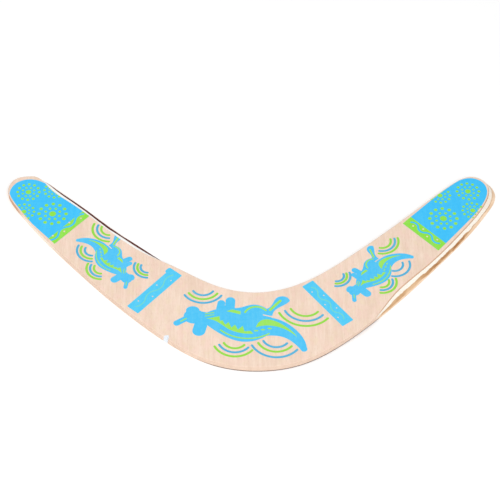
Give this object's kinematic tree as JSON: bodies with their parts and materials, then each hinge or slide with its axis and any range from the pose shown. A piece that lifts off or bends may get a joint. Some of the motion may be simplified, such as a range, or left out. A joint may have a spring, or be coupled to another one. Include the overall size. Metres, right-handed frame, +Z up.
{
  "type": "boomerang",
  "caption": "Flat V-shaped returning boomerang of laminated wood veneers with bevelled trailing edges and a two-colour printed face.",
  "frame": {"origin": "centre of the outline's bounding box, on the flat underside", "axes": "+X from the left arm's tip to the right arm's, seen with the printed face up; +Y from the elbow to the tips; +Z up through the thickness to the printed face"},
  "size_m": [0.4, 0.202, 0.0051],
  "materials": {
    "face_veneer": "matt, fine grain, bare",
    "core_veneer": "matt, pale, sanded",
    "back_veneer": "matt, browned edge",
    "glue": "dark cured resin",
    "ink_blue": "matt screen print",
    "ink_green": "matt screen print"
  },
  "bodies": {
    "root": {"back_veneer": "back_veneer", "centre_kangaroo_blue": "ink_blue", "centre_kangaroo_green": "ink_green", "centre_ripples_blue": "ink_blue", "centre_ripples_green": "ink_green", "core_veneer": "core_veneer", "face_veneer": "face_veneer", "left_bar_blue": "ink_blue", "left_bar_green": "ink_green", "left_kangaroo_blue": "ink_blue", "left_kangaroo_green": "ink_green", "left_ripples_blue": "ink_blue", "left_ripples_green": "ink_green", "left_tip_blue": "ink_blue", "left_tip_green": "ink_green", "lower_glue_line": "glue", "right_bar_blue": "ink_blue", "right_bar_green": "ink_green", "right_kangaroo_blue": "ink_blue", "right_kangaroo_green": "ink_green", "right_ripples_blue": "ink_blue", "right_ripples_green": "ink_green", "right_tip_blue": "ink_blue", "right_tip_green": "ink_green", "upper_glue_line": "glue"}
  },
  "joints": []
}
